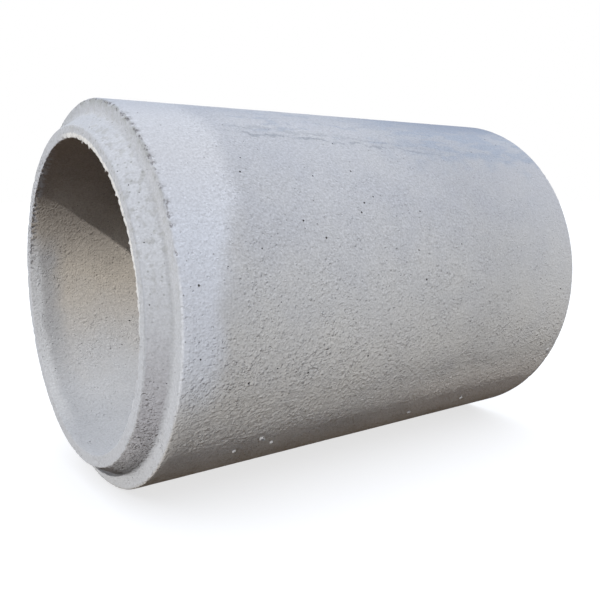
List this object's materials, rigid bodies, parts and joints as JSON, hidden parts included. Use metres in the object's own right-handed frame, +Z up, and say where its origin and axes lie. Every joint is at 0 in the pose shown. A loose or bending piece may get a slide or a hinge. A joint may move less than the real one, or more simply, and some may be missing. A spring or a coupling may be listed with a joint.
{
  "type": "concrete sewer pipe",
  "caption": "Straight cast concrete sewer pipe with a round bore, a tapered spigot standing out from a flat shoulder at one end and the matching socket in the wall at the other.",
  "frame": {"origin": "on the ground, midway along the pipe, under its axis", "axes": "+X along the pipe's axis from the spigot towards the socket, +Z up"},
  "size_m": [1.06, 0.754, 0.754],
  "materials": {
    "concrete": "dry-cast concrete, matt and sandy, with air pits, water streaks and chipped edges"
  },
  "bodies": {
    "root": {"pipe": "concrete"}
  },
  "joints": []
}
